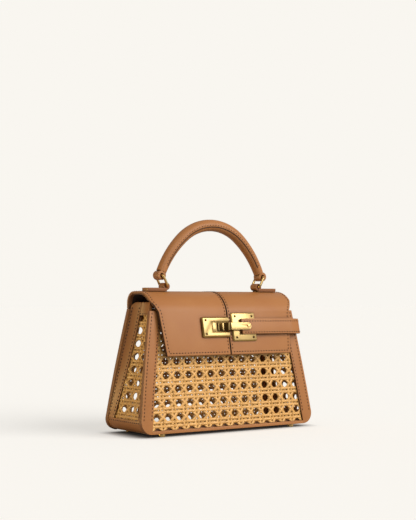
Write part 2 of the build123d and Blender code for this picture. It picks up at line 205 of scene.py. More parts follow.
def trim(piece, point, outward):
    """Cuts away what lies past a plane."""
    only(piece)
    bpy.ops.object.mode_set(mode="EDIT")
    bpy.ops.mesh.select_all(action="SELECT")
    bpy.ops.mesh.bisect(plane_co=point, plane_no=outward, clear_outer=True)
    bpy.ops.object.mode_set(mode="OBJECT")


def curve_through(name, spots):
    """A curve of straight runs through the spots."""
    curve = bpy.data.curves.new(name, "CURVE")
    curve.dimensions = "3D"
    spline = curve.splines.new("POLY")
    spline.points.add(len(spots) - 1)
    for point, spot in zip(spline.points, spots):
        point.co = (*spot, 1)
    piece = bpy.data.objects.new(name, curve)
    bpy.context.scene.collection.objects.link(piece)
    return piece


def merged_copy(node, name):
    """A copy of a CAD node's mesh as one closed surface with whole flat faces."""
    only(frame["nodes"][node])
    bpy.ops.object.duplicate()
    piece = bpy.context.object
    piece.name = name
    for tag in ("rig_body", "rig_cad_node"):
        del piece[tag]
    bpy.ops.object.parent_clear(type="CLEAR")
    bpy.ops.object.mode_set(mode="EDIT")
    bpy.ops.mesh.select_all(action="SELECT")
    bpy.ops.mesh.remove_doubles(threshold=0.002 * MM)
    bpy.ops.mesh.dissolve_limited(angle_limit=math.radians(0.6))
    bpy.ops.mesh.customdata_custom_splitnormals_clear()
    bpy.ops.object.mode_set(mode="OBJECT")
    return piece


def rounded_copy(node, name, radius, segments=3, angle=35):
    """A copy of a CAD node with its sharp edges rounded, as skived or polished edges are."""
    piece = merged_copy(node, name)
    modify(piece, "BEVEL", width=radius * MM, segments=segments, limit_method="ANGLE",
           angle_limit=math.radians(angle), harden_normals=False)
    bpy.ops.object.shade_smooth_by_angle(angle=math.radians(30))
    return piece


def dress(piece, *materials):
    """Gives a piece these materials; all its faces take the first one."""
    piece.data.materials.clear()
    for material in materials:
        piece.data.materials.append(material)


def belongs(piece, body, slot, *nodes):
    """The piece moves with a body and stands for CAD nodes; the slot is not used."""
    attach(piece, body)
    if nodes:
        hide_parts(*nodes)


def paint_faces(piece, index, test):
    """Gives the faces whose middle and normal pass the test another of the piece's materials."""
    for face in piece.data.polygons:
        if test(face.center, face.normal):
            face.material_index = index


# ---------------------------------------------------------------- sizes and colours
def colour_property(name, description, colour):
    """A colour that a user can change, from an sRGB hex value."""
    return bpy.props.FloatVectorProperty(
        name=name, description=description, subtype="COLOR", size=4, min=0, max=1,
        default=linear(colour))


def size_property(name, description, millimetres):
    """A length that a user can change, from millimetres."""
    return bpy.props.FloatProperty(
        name=name, description=description, default=millimetres * MM, min=0.01 * MM,
        subtype="DISTANCE", unit="LENGTH", precision=4)


class BagSizes(bpy.types.PropertyGroup):
    strand_width: size_property("Strand width", "Width of one split-cane strand", 3.0)
    strand_thickness: size_property("Strand thickness", "Thickness of one strand", 0.45)
    pair_spacing: size_property("Pair spacing", "From a pair's middle to each of its strands", 1.75)
    stitch_pitch: size_property("Stitch pitch", "From one stitch to the next", 3.2)
    stitch_length: size_property("Stitch length", "Thread that shows in one stitch", 1.9)
    thread_width: size_property("Thread width", "Width of the waxed thread", 0.9)
    leather_edge: size_property("Edge rounding", "Radius of a finished leather edge", 0.7)
    metal_edge: size_property("Metal edge", "Radius of a polished metal edge", 0.25)


class BagColours(bpy.types.PropertyGroup):
    leather: colour_property("Leather", "Smooth tan calf leather", "#A06B3B")
    leather_dark: colour_property("Leather, deep", "The darker mottle in the leather", "#965F31")
    edge: colour_property("Edge paint", "Painted edges of the leather", "#80502B")
    # Painted shadow: this darker edge paint stands for the shade along the flap's sides and middle
    # seam, and in the handle's seams.
    edge_shadow: colour_property("Edge paint, dark", "Painted edges that lie in shadow", "#3B2413")
    thread: colour_property("Thread", "Waxed sewing thread", "#3A2110")
    cane: colour_property("Cane", "Skin of the split cane", "#D8A55F")
    cane_dark: colour_property("Cane, deep", "Darker streaks and knots in the cane", "#A87838")
    metal: colour_property("Metal", "Pale gold plating", "#E8C583")
    # Painted shade: the bevels' darker gold stands for the dark reflections that they show.
    metal_edge: colour_property("Metal, bevels", "Gold plating on the bevels", "#C6A25E")
    screw: colour_property("Screws", "Tarnished brass of the screw heads", "#4E3718")
    # The lining's near-black brown is partly its own colour and partly painted shade for the dark
    # under the flap.
    lining: colour_property("Lining", "Microfibre lining of the flap", "#38261A")
    floor: colour_property("Floor", "Studio floor", "#FAFBFB")
    backdrop: colour_property("Backdrop", "Studio backdrop", "#F9F6F0")


# ---------------------------------------------------------------- materials
def add_node(tree, kind, links=None, **settings):
    """Adds a shader node with its settings, and with its inputs set or linked."""
    node = tree.nodes.new(kind)
    for name, value in settings.items():
        setattr(node, name, value)
    for socket, value in (links or {}).items():
        if isinstance(value, bpy.types.NodeSocket):
            tree.links.new(value, node.inputs[socket])
        else:
            node.inputs[socket].default_value = value
    return node


def new_material(name):
    """A material with only its output and a Principled shader, and its tree and shader."""
    material = bpy.data.materials.new(name)
    material.use_nodes = True
    tree = material.node_tree
    tree.nodes.clear()
    shader = add_node(tree, "ShaderNodeBsdfPrincipled")
    add_node(tree, "ShaderNodeOutputMaterial", {"Surface": shader.outputs[0]})
    return material, tree, shader


def shade_by_occlusion(tree, colour, reach, strength):
    """The colour darkened by ambient occlusion in creases and against neighbours: painted shade."""
    painted_occlusion = add_node(tree, "ShaderNodeAmbientOcclusion", {"Distance": reach * MM}).outputs["AO"]
    depth = add_node(tree, "ShaderNodeMapRange", {"Value": painted_occlusion, "To Min": 1 - strength})
    return add_node(tree, "ShaderNodeVectorMath", {
        0: colour, "Scale": depth.outputs[0]}, operation="SCALE").outputs[0]


def leather_material(name, colour, deep, roughness=0.42):
    """Smooth aniline calf: a soft even gloss, fine pores and a slow mottle from the dye."""
    material, tree, shader = new_material(name)
    place = add_node(tree, "ShaderNodeTexCoord").outputs["Object"]
    # The dye's mottle is about 22 mm across, and creases are 2.4 mm apart. Pores are 0.3 mm
    # apart on real calf, and drawn at about 0.9 mm so that they show.
    mottle = add_node(tree, "ShaderNodeTexNoise", {"Vector": place, "Scale": 45, "Detail": 3})
    pores = add_node(tree, "ShaderNodeTexVoronoi", {"Vector": place, "Scale": 1100})
    creases = add_node(tree, "ShaderNodeTexNoise", {"Vector": place, "Scale": 420, "Detail": 5})
    tone = add_node(tree, "ShaderNodeMix", {
        "Factor": mottle.outputs["Fac"], "A": deep, "B": colour}, data_type="RGBA")
    # Painted shade: the leather's tone is darkened in creases and against neighbouring parts.
    tree.links.new(shade_by_occlusion(tree, tone.outputs["Result"], 4, 0.75), shader.inputs["Base Color"])
    sheen_map = add_node(tree, "ShaderNodeMapRange", {
        "Value": creases.outputs["Fac"], "To Min": roughness - 0.06, "To Max": roughness + 0.10})
    tree.links.new(sheen_map.outputs[0], shader.inputs["Roughness"])
    fine = add_node(tree, "ShaderNodeBump", {
        "Height": pores.outputs["Distance"], "Strength": 0.12, "Distance": 0.00012})
    bump = add_node(tree, "ShaderNodeBump", {
        "Height": creases.outputs["Fac"], "Normal": fine.outputs[0], "Strength": 0.25,
        "Distance": 0.00015})
    tree.links.new(bump.outputs[0], shader.inputs["Normal"])
    shader.inputs["IOR"].default_value = 1.5
    shader.inputs["Specular IOR Level"].default_value = 0.5
    return material


def thread_material(name, colour):
    """Waxed polyester thread: matt, with the slant of its twist."""
    material, tree, shader = new_material(name)
    place = add_node(tree, "ShaderNodeTexCoord").outputs["Object"]
    # The plies of the twist are 0.4 mm apart.
    twist = add_node(tree, "ShaderNodeTexWave", {
        "Vector": place, "Scale": 900, "Distortion": 1.5}, bands_direction="DIAGONAL")
    bump = add_node(tree, "ShaderNodeBump", {
        "Height": twist.outputs["Fac"], "Strength": 0.4, "Distance": 0.0001})
    tree.links.new(bump.outputs[0], shader.inputs["Normal"])
    shader.inputs["Base Color"].default_value = colour
    shader.inputs["Roughness"].default_value = 0.62
    return material


def cane_material(name, colour, deep):
    """Split rattan peel: a hard, silica-bright skin with long fibres and darker growth marks."""
    material, tree, shader = new_material(name)
    place = add_node(tree, "ShaderNodeTexCoord").outputs["Object"]
    # The peel's tint changes every 7 mm or so, and its growth marks are about 2 mm apart.
    tint = add_node(tree, "ShaderNodeTexNoise", {"Vector": place, "Scale": 140, "Detail": 4})
    marks = add_node(tree, "ShaderNodeTexNoise", {"Vector": place, "Scale": 520, "Detail": 2})
    spots = add_node(tree, "ShaderNodeMapRange", {
        "Value": marks.outputs["Fac"], "From Min": 0.56, "From Max": 0.72})
    broad = add_node(tree, "ShaderNodeMapRange", {
        "Value": tint.outputs["Fac"], "From Min": 0.35, "From Max": 0.75, "To Max": 0.45})
    amount = add_node(tree, "ShaderNodeMath", {
        0: spots.outputs[0], 1: broad.outputs[0]}, operation="MAXIMUM")
    tone = add_node(tree, "ShaderNodeMix", {
        "Factor": amount.outputs[0], "A": colour, "B": deep}, data_type="RGBA")
    # Painted shade: the cane's tone is darkened in the crevices between strands.
    tree.links.new(shade_by_occlusion(tree, tone.outputs["Result"], 1.6, 0.8), shader.inputs["Base Color"])
    bump = add_node(tree, "ShaderNodeBump", {
        "Height": marks.outputs["Fac"], "Strength": 0.3, "Distance": 0.0002})
    tree.links.new(bump.outputs[0], shader.inputs["Normal"])
    shader.inputs["Roughness"].default_value = 0.38
    shader.inputs["Coat Weight"].default_value = 0.25
    shader.inputs["Coat Roughness"].default_value = 0.2
    return material


def gold_material(name, colour):
    """Polished brass with pale gold plating: a bright mirror with faint buffing marks."""
    material, tree, shader = new_material(name)
    place = add_node(tree, "ShaderNodeTexCoord").outputs["Object"]
    # Buffing leaves marks of some tenths of a millimetre, drawn at 3 mm so that they show, and
    # painted reflections darken the colour in patches about 9 mm across.
    buffing = add_node(tree, "ShaderNodeTexNoise", {"Vector": place, "Scale": 300, "Detail": 4})
    gloss = add_node(tree, "ShaderNodeMapRange", {
        "Value": buffing.outputs["Fac"], "To Min": 0.27, "To Max": 0.34})
    tree.links.new(gloss.outputs[0], shader.inputs["Roughness"])
    bump = add_node(tree, "ShaderNodeBump", {
        "Height": buffing.outputs["Fac"], "Strength": 0.01, "Distance": 0.00003})
    tree.links.new(bump.outputs[0], shader.inputs["Normal"])
    reflection_blotches = add_node(tree, "ShaderNodeTexNoise", {"Vector": place, "Scale": 110, "Detail": 1})
    reflection_tone = add_node(tree, "ShaderNodeMapRange", {
        "Value": reflection_blotches.outputs["Fac"], "From Min": 0.35, "From Max": 0.65,
        "To Min": 0.88, "To Max": 1.0})
    tone = add_node(tree, "ShaderNodeVectorMath", {
        0: list(colour)[:3], "Scale": reflection_tone.outputs[0]}, operation="SCALE")
    tree.links.new(tone.outputs[0], shader.inputs["Base Color"])
    shader.inputs["Metallic"].default_value = 1
    return material


def recess_metal_material(name, colour, dark):
    """Brass down in the catch with painted shade: dark, with narrow painted streaks of reflected
    gold.
    """
    material, tree, shader = new_material(name)
    place = add_node(tree, "ShaderNodeTexCoord").outputs["Object"]
    # A painted reflection streak about every 5 mm, so that two or three fall on the hook.
    streaks = add_node(tree, "ShaderNodeTexWave", {
        "Vector": place, "Scale": 62, "Distortion": 2.5, "Detail": 1}, bands_direction="X")
    amount = add_node(tree, "ShaderNodeMapRange", {
        "Value": streaks.outputs["Fac"], "From Min": 0.74, "From Max": 1.0})
    tone = add_node(tree, "ShaderNodeMix", {
        "Factor": amount.outputs[0], "A": dark, "B": colour}, data_type="RGBA")
    tree.links.new(tone.outputs["Result"], shader.inputs["Base Color"])
    shader.inputs["Metallic"].default_value = 1
    shader.inputs["Roughness"].default_value = 0.22
    return material


def lining_material(name, colour):
    """Microfibre: quite matt, with a short nap that catches light at a slant."""
    material, tree, shader = new_material(name)
    place = add_node(tree, "ShaderNodeTexCoord").outputs["Object"]
    # Microfibre's nap is finer than 0.1 mm, and drawn at 1.1 mm so that it shows.
    nap = add_node(tree, "ShaderNodeTexNoise", {"Vector": place, "Scale": 900, "Detail": 3})
    bump = add_node(tree, "ShaderNodeBump", {
        "Height": nap.outputs["Fac"], "Strength": 0.5, "Distance": 0.0002})
    tree.links.new(bump.outputs[0], shader.inputs["Normal"])
    shader.inputs["Base Color"].default_value = colour
    shader.inputs["Roughness"].default_value = 0.9
    shader.inputs["Sheen Weight"].default_value = 0.06
    return material


def paper_material(name, colour, backdrop, glow, bounce):
    """Studio paper that glows evenly like the backdrop to the camera, with a painted contact shadow
    where that glow dims near the bag, over a faint real shadow.
    """
    material, tree, shader = new_material(name)
    place = add_node(tree, "ShaderNodeTexCoord").outputs["Object"]
    # The paper's fibres are finer than 0.1 mm, and drawn at 1.1 mm so that they show.
    fibres = add_node(tree, "ShaderNodeTexNoise", {"Vector": place, "Scale": 900, "Detail": 2})
    bump = add_node(tree, "ShaderNodeBump", {
        "Height": fibres.outputs["Fac"], "Strength": 0.05, "Distance": 0.0001})
    tree.links.new(bump.outputs[0], shader.inputs["Normal"])
    shader.inputs["Base Color"].default_value = [c * bounce for c in colour[:3]] + [1]
    shader.inputs["Roughness"].default_value = 0.95
    shader.inputs["Specular IOR Level"].default_value = 0.0
    shader.inputs["Emission Color"].default_value = backdrop
    seen = add_node(tree, "ShaderNodeLightPath").outputs["Is Camera Ray"]
    # Painted contact shadow: the glow dims within 14 mm of the bag, most of all right under it.
    floor_occlusion = add_node(tree, "ShaderNodeAmbientOcclusion", {"Distance": 14 * MM}).outputs["AO"]
    painted_occlusion = add_node(tree, "ShaderNodeMath", {0: floor_occlusion, 1: 1.6}, operation="POWER")
    lit = add_node(tree, "ShaderNodeMath", {0: seen, 1: painted_occlusion.outputs[0]}, operation="MULTIPLY")
    shine = add_node(tree, "ShaderNodeMath", {0: lit.outputs[0], 1: glow}, operation="MULTIPLY")
    tree.links.new(shine.outputs[0], shader.inputs["Emission Strength"])
    return material


MATERIALS = {}


def finishes(context):
    """The bag's materials by finish, all made at the first call."""
    colours = context.scene.bag_colours
    if not MATERIALS:
        MATERIALS.update(
            leather=leather_material("smooth_calf_leather", colours.leather, colours.leather_dark),
            leather_edge=leather_material(
                "painted_leather_edge", colours.edge, colours.edge, 0.5),
            dark_edge=leather_material(
                "edge_paint_with_painted_shadow", colours.edge_shadow, colours.edge_shadow, 0.55),
            thread=thread_material("waxed_thread", colours.thread),
            cane=cane_material("split_cane", colours.cane, colours.cane_dark),
            gold_metal=gold_material("gold_plated_brass", colours.metal),
            bevel_metal=gold_material("gold_with_painted_bevel_shade", colours.metal_edge),
            recess_metal=recess_metal_material("brass_with_painted_shade_and_reflections", colours.metal, colours.screw),
            screw_metal=gold_material("tarnished_screw_brass", colours.screw),
            lining=lining_material("microfibre_lining", colours.lining))
    return MATERIALS


# ---------------------------------------------------------------- stitching
SEAM_STEP = 1.5


def one_stitch(sizes):
    """A stitch of thread, along X, plump in the middle and drawn down at its ends."""
    bpy.ops.object.select_all(action="DESELECT")
    bpy.ops.mesh.primitive_uv_sphere_add(
        segments=8, ring_count=5, radius=0.5, rotation=(0, math.pi / 2, 0))
    stitch = bpy.context.object
    stitch.scale = (sizes.thread_width, sizes.thread_width, sizes.stitch_length)
    settle(stitch)
    bpy.ops.object.shade_smooth()
    return stitch


def along(points, step):
    """Points a step apart on straight runs between the given ones."""
    placed = [points[0].copy()]
    for start, end in zip(points, points[1:]):
        count = max(1, round((end - start).length / step))
        placed += [start.lerp(end, (i + 1) / count) for i in range(count)]
    return placed


def laid_on(host, points, lift):
    """The points moved to the nearest place on a piece's surface, and lifted off it."""
    placed = []
    for point in points:
        _, where, normal, _ = host.closest_point_on_mesh(point)
        placed.append(where + normal * lift)
    return placed


def stitch_row(sizes, host, hints, lift=0.0):
    """A row of stitches on a piece's surface, by the hint points from end to end."""
    spots = laid_on(host, along(hints, SEAM_STEP * MM), lift)
    length = sum((b - a).length for a, b in zip(spots, spots[1:]))
    seam = curve_through("seam", spots)
    row = one_stitch(sizes)
    count = max(1, int(length / sizes.stitch_pitch))
    pitch = length / count
    row.location.x = pitch / 2
    settle(row)
    modify(row, "ARRAY", use_relative_offset=False, use_constant_offset=True,
           constant_offset_displace=(pitch, 0, 0), count=count)
    modify(row, "CURVE", object=seam, deform_axis="POS_X")
    bpy.data.objects.remove(seam)
    return row


def stitching(name, rows, context, lift=0.0):
    """All the rows of one seam group as one piece. rows holds hosts with their hint points."""
    sizes = context.scene.bag_sizes
    thread = joined(name, [stitch_row(sizes, host, hints, lift) for host, hints in rows])
    dress(thread, finishes(context)["thread"])
    return thread


# ---------------------------------------------------------------- woven cane
def strand(length, width, thickness, heights):
    """A split-cane strand along Y, lens-shaped across, which rises and sinks through heights."""
    bpy.ops.object.select_all(action="DESELECT")
    bpy.ops.mesh.primitive_cylinder_add(
        vertices=6, radius=0.5, depth=length, end_fill_type="NOTHING",
        rotation=(math.pi / 2, 0, 0))
    piece = bpy.context.object
    piece.scale = (width, thickness / math.cos(math.pi / 6), 1)
    settle(piece)
    steps = len(heights) - 1
    bpy.ops.object.mode_set(mode="EDIT")
    for i in range(1, steps):
        bpy.ops.mesh.select_all(action="SELECT")
        bpy.ops.mesh.bisect(plane_co=(0, length * (i / steps - 0.5), 0), plane_no=(0, 1, 0))
    bpy.ops.object.mode_set(mode="OBJECT")
    for vertex in piece.data.vertices:
        vertex.co.z += heights[round((vertex.co.y / length + 0.5) * steps)]
    return piece


def copied(piece, location, turn):
    """A copy of a piece with its own mesh, turned about Z and moved."""
    only(piece)
    bpy.ops.object.duplicate()
    copy = bpy.context.object
    copy.location, copy.rotation_euler = location, (0, 0, turn)
    settle(copy)
    return copy


def woven_cell(sizes):
    """One repeat of six-way cane webbing, centred where two upright and two level strands cross."""
    half = CANE_PITCH * MM / 2
    width, thick, apart = sizes.strand_width, sizes.strand_thickness, sizes.pair_spacing
    rise, climb = 0.55 * thick, 1.1 * thick
    over_under = [0, 0, rise, 0, -rise, 0, 0]
    straight = strand(2 * half, width, thick, over_under)
    over_to_under = [climb, 0.8 * climb, 0, -0.8 * climb, -climb]
    slant = strand(half * math.sqrt(2), width, thick, over_to_under)
    pieces = []
    for side, flip in ((-1, 0), (1, math.pi)):
        pieces.append(copied(straight, (side * apart, 0, 0), flip))
        pieces.append(copied(straight, (0, -side * apart, 0), math.pi / 2 + flip))
    quarter = half / 2
    # The first slanting strand passes over the upright pairs, the second over the level ones.
    for x, y, turn in (
            (quarter, -quarter, -math.pi / 4), (-quarter, quarter, math.pi * 3 / 4),
            (quarter, quarter, -math.pi * 3 / 4), (-quarter, -quarter, math.pi / 4)):
        pieces.append(copied(slant, (x, y, 0), turn))
    bpy.data.objects.remove(straight)
    bpy.data.objects.remove(slant)
    return joined("cell", pieces)


def webbing(sizes, columns, rows, first_u, first_v):
    """A sheet of webbing in XY, its first repeat's middle at a place in millimetres."""
    sheet = woven_cell(sizes)
    sheet.location = (first_u * MM, first_v * MM, 0)
    settle(sheet)
    pitch = CANE_PITCH * MM
    for count, step in ((columns, (pitch, 0, 0)), (rows, (0, pitch, 0))):
        modify(sheet, "ARRAY", use_relative_offset=False, use_constant_offset=True,
               constant_offset_displace=step, count=count, use_merge_vertices=True,
               merge_threshold=0.01 * MM)
    bpy.ops.object.shade_smooth()
    return sheet


class HANDBAG_OT_panel_cane(bpy.types.Operator):
    """Weave the cane of the front and back panels"""
    bl_idname = "handbag.panel_cane"
    bl_label = "Front and back cane"

    def execute(self, context):
        sizes = context.scene.bag_sizes
        low = (BASE_THICKNESS + CANE_ABOVE_BASE) * SLOPE * MM
        high = (FRONT_TOP - CANE_BELOW_TOP) * SLOPE * MM
        side_x = (BASE_LENGTH / 2 - CANE_SIDE_INSET) * MM
        taper = (BASE_LENGTH - TOP_LENGTH) / 2 / BODY_HEIGHT / SLOPE
        columns_each_way = 8
        for name, turn, shift in (
                ("front_webbing", 0, (0, 0)), ("back_webbing", math.pi, BACK_CANE_SHIFT)):
            cane = webbing(
                sizes, columns=2 * columns_each_way + 1, rows=10,
                first_u=-columns_each_way * CANE_PITCH + shift[0],
                first_v=CANE_FIRST_ROW - CANE_PITCH / 2 + shift[1])
            cane.name = name
            trim(cane, (0, low, 0), (0, -1, 0))
            trim(cane, (0, high, 0), (0, 1, 0))
            for side in (-1, 1):
                trim(cane, (side * side_x, 0, 0), (side, taper, 0))
            dress(cane, finishes(context)["cane"])
            face_y = -BASE_DEPTH / 2 + PANEL_THICKNESS / 2 / math.cos(LEAN)
            tilt = Matrix.Rotation(math.pi / 2 - LEAN, 4, "X")
            stand = Matrix.Translation(Vector((0, face_y * MM, 0)))
            cane.matrix_world = (
                Matrix.Translation(FLOOR_MIDDLE) @ Matrix.Rotation(turn, 4, "Z") @ stand @ tilt)
            settle(cane)
            belongs(cane, "bag", "cane", name.replace("webbing", "cane"))
        return {"FINISHED"}


class HANDBAG_OT_end_cane(bpy.types.Operator):
    """Weave the cane of the hollow end panels"""
    bl_idname = "handbag.end_cane"
    bl_label = "End cane"

    def execute(self, context):
        sizes = context.scene.bag_sizes
        squeeze = END_PITCH_Z / CANE_PITCH
        for name, side, shift in (
                ("left_end_webbing", -1, (0, 0)), ("right_end_webbing", 1, RIGHT_END_CANE_SHIFT)):
            cane = webbing(
                sizes, columns=6, rows=10,
                first_u=END_COLUMN_SHIFT - CANE_PITCH * 3.5 + shift[0],
                first_v=(END_FIRST_ROW - END_PITCH_Z / 2 + shift[1]) / squeeze)
            cane.name = name
            only(cane)
            cane.scale.y = squeeze
            settle(cane)
            trim(cane, (0, BASE_UPTURN * MM, 0), (0, -1, 0))
            trim(cane, (0, (BODY_HEIGHT - END_CANE_BELOW_TOP) * MM, 0), (0, 1, 0))
            for edge in (-1, 1):
                edge_x = edge * (inner_depth(0) - END_CANE_EDGE) * MM
                trim(cane, (edge_x, 0, 0), (edge, math.tan(LEAN), 0))
            dress(cane, finishes(context)["cane"])
            for vertex in cane.data.vertices:
                y, z, out = vertex.co.x / MM, vertex.co.y / MM, vertex.co.z / MM
                x = end_surface(y, z, CANE_THICKNESS / 2) + out
                vertex.co = at(side * x, y, z)
            if side > 0:  # laid on the right-hand end, the sheet faces inwards
                bpy.ops.object.mode_set(mode="EDIT")
                bpy.ops.mesh.select_all(action="SELECT")
                bpy.ops.mesh.flip_normals()
                bpy.ops.object.mode_set(mode="OBJECT")
            belongs(cane, "bag", "cane", name.replace("webbing", "cane"))
        return {"FINISHED"}


# ---------------------------------------------------------------- leather of the body
# Seams, in millimetres inward from a band's outer edge or outward from its inner one.
BAND_SEAM, END_BAND_SEAM, INNER_SEAM, BASE_SEAM = 2.5, 1.6, 1.5, 2.0
SEAM_REACH, SEAM_FOOT, CORNER_SEAM_FOOT, END_SEAM_LENGTH = 1.0, 2.0, 8.0, 102.0
HINT_REACH = 1.5


def front_point(x, z, side):
    """A point on the outer face of the front panel, or of the back one with side 1."""
    return at(x, side * half_depth(z), z)


def end_point(side, y, z):
    """A point just outside the leather of an end panel."""
    return at(side * end_surface(y, z, -HINT_REACH), y, z)


def band_seam(way, side, top, inset):
    """Hints for a seam of the front or back: up its left or right band, or along its top one."""
    if way == 0:
        reach = half_length(top) - SEAM_REACH
        return [front_point(end * reach, top - inset, side) for end in (-1, 1)]
    low = SEAM_FOOT if inset > CORNER_RADIUS else CORNER_SEAM_FOOT
    heights = [3 + (top - 4) * i / 12 for i in range(13)]
    return [front_point(way * (half_length(z) - inset), z, side) for z in heights if z >= low]


def end_seams(part, side):
    """Hints for the seams of one band of an end panel. The front band has none of its own."""
    if part == "rear_band":
        heights = [BASE_UPTURN + SEAM_FOOT + END_SEAM_LENGTH * i / 14 for i in range(15)]
        return [[end_point(side, inner_depth(z) - inset, z) for z in heights]
                for inset in (END_BAND_SEAM, END_REAR_BAND - INNER_SEAM)]
    if part == "top_band":
        z = BODY_HEIGHT - BAND_WIDTH + INNER_SEAM
        reach = inner_depth(z) - INNER_SEAM
        return [[end_point(side, reach * (i / 4 - 1), z) for i in range(9)]]
    return []


class HANDBAG_OT_body_leather(bpy.types.Operator):
    """Round and sew the leather bands and base of the body"""
    bl_idname = "handbag.body_leather"
    bl_label = "Body leather"

    def execute(self, context):
        leather, edge = (finishes(context)[name] for name in ("leather", "leather_edge"))
        radius = context.scene.bag_sizes.leather_edge / MM
        rows = []
        for panel, side, top in (("front", -1, FRONT_TOP), ("back", 1, BACK_TOP)):
            face = Vector((0, side * math.cos(LEAN), math.sin(LEAN)))
            for part, way in (("left_band", -1), ("right_band", 1), ("top_band", 0)):
                node = f"{panel}_{part}"
                band = rounded_copy(node, f"{node}_leather", radius)
                dress(band, leather, edge)
                paint_faces(band, 1, lambda middle, normal: abs(normal.dot(face)) < 0.5)
                belongs(band, "bag", "leather", node)
                rows += [(band, band_seam(way, side, top, inset))
                         for inset in (BAND_SEAM, BAND_WIDTH - INNER_SEAM)]
        base = rounded_copy("base_panel", "base_leather", radius)
        dress(base, leather)
        belongs(base, "bag", "leather", "base_panel")
        for name, side in (("left", -1), ("right", 1)):
            for part in ("front_band", "rear_band", "top_band"):
                node = f"{name}_end_{part}"
                band = rounded_copy(node, f"{node}_leather", 0.5 * radius)
                dress(band, leather)
                belongs(band, "bag", "leather", node)
                rows += [(band, hints) for hints in end_seams(part, side)]
            z = BASE_UPTURN - BASE_SEAM
            x, reach = side * (half_length(z) - END_INSET), inner_depth(z) - SEAM_REACH
            rows.append((base, [at(x, -reach, z), at(x, reach, z)]))
        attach(stitching("body_stitching", rows, context), "bag")
        return {"FINISHED"}


class HANDBAG_OT_feet(bpy.types.Operator):
    """Polish the four studs under the base"""
    bl_idname = "handbag.feet"
    bl_label = "Feet"

    def execute(self, context):
        for name in ("front_left", "front_right", "rear_left", "rear_right"):
            node = f"{name}_foot"
            stud = rounded_copy(node, f"{name}_stud", context.scene.bag_sizes.metal_edge / MM)
            dress(stud, finishes(context)["gold_metal"])
            belongs(stud, "bag", "gold_metal", node)
        return {"FINISHED"}


# ---------------------------------------------------------------- flap
FLAP_SEAM, FLAP_EDGE_SEAM = 2.4, 2.6
FLAP_EDGE, FLAP_LINING_EDGE, FLAP_TURNED_EDGE = 0.9, 0.25, 4.5


def flap_outline(inset):
    """The flap's half width at heights down its front, moved inward."""
    places = [
        (FLAP_LENGTH / 2, FLAP_SIDE_BREAK), (FLAP_SHOULDER_LENGTH / 2, FLAP_SIDE_SHOULDER),
        (FLAP_HEM_LENGTH / 2, FLAP_HEM[1])]
    return [(x - inset, z) for x, z in places]


class HANDBAG_OT_flap(bpy.types.Operator):
    """Shape and sew the flap's two leather halves and its lining"""
    bl_idname = "handbag.flap"
    bl_label = "Flap"

    def execute(self, context):
        leather, edge, shadowed_edge, cloth = (
            finishes(context)[name] for name in ("leather", "leather_edge", "dark_edge", "lining"))
        rows = []
        (top_x, break_z), (shoulder_x, shoulder_z), (hem_x, hem_z) = flap_outline(FLAP_EDGE_SEAM)
        low = hem_z + FLAP_EDGE_SEAM
        over_top = [
            (FLAP_REAR_Y, BACK_TOP + 2), (FLAP_REAR_Y, FLAP_TOP - 8), (FLAP_REAR_Y - 8, FLAP_TOP),
            (FLAP_BREAK_Y, FLAP_TOP), (FLAP_BREAK_Y - 6, FLAP_TOP - 4), (FLAP_BREAK_Y - 8, break_z)]
        hanging_from = at(0, FLAP_SHOULDER[0] + 4, 0).y
        for name, side in (("left", -1), ("right", 1)):
            node = f"flap_{name}"
            half = rounded_copy(node, f"{node}_leather", FLAP_EDGE, 4)
            dress(half, leather, shadowed_edge)
            # Painted shadow: the side faces down the flap's front and along its middle seam take
            # the darkened edge paint.
            paint_faces(half, 1, lambda middle, normal: abs(normal.x) > 0.55 and (
                middle.y < hanging_from or abs(middle.x) < 3 * MM))
            belongs(half, "bag", "leather", node)
            side_line = [at(side * top_x, y, z) for y, z in over_top]
            side_line += [
                at(side * shoulder_x, flap_front_y(shoulder_z) + 1, shoulder_z),
                at(side * hem_x, flap_front_y(low), low),
                at(side * FLAP_SEAM, flap_front_y(low), low)]
            middle_line = [at(side * FLAP_SEAM, y, z) for y, z in over_top]
            middle_line += [at(side * FLAP_SEAM, flap_front_y(z) + 0.5, z)
                            for z in (shoulder_z, 90, low + 2)]
            rows += [(half, side_line), (half, middle_line)]
        lining = rounded_copy("flap_lining", "flap_lining_cloth", FLAP_LINING_EDGE, 2)
        # The lining is partly painted shade: its colour is darkened for the dark under the flap.
        dress(lining, cloth, edge)
        turned = (FLAP_LENGTH / 2 - FLAP_TURNED_EDGE) * MM
        bpy.ops.object.mode_set(mode="EDIT")
        for side in (-1, 1):
            bpy.ops.mesh.select_all(action="SELECT")
            bpy.ops.mesh.bisect(plane_co=(side * turned, 0, 0), plane_no=(1, 0, 0))
        bpy.ops.object.mode_set(mode="OBJECT")
        paint_faces(lining, 1, lambda middle, normal: abs(middle.x) > turned or abs(normal.x) > 0.6)
        belongs(lining, "bag", "lining", "flap_lining")
        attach(stitching("flap_stitching", rows, context), "bag")
        return {"FINISHED"}


# ---------------------------------------------------------------- handle
HANDLE_TOP, HANDLE_SHOULDER, HANDLE_FOOT = 195.0, (34.0, 182.2), (58.4, 149.0)
HANDLE_EDGE, HANDLE_HINT_REACH, HANDLE_ARC_STEPS = 0.8, 7.0, 12
HANDLE_SEAM_RADIUS, HANDLE_SEAM_SINK = 0.6, 0.25
# Turns from the handle's inside toward its front, in degrees.
HANDLE_SEAMS, HANDLE_STITCHES = (72, -72), (90, -90)


def handle_spots(low_turn, high_turn, middle, radius):
    """Places and inward directions along one arc of the handle's centre line, in XZ."""
    spots = []
    for i in range(HANDLE_ARC_STEPS + 1):
        turn = low_turn + (high_turn - low_turn) * i / HANDLE_ARC_STEPS
        way = Vector((math.cos(turn), 0, math.sin(turn)))
        spots.append((middle + way * radius, -way))
    return spots


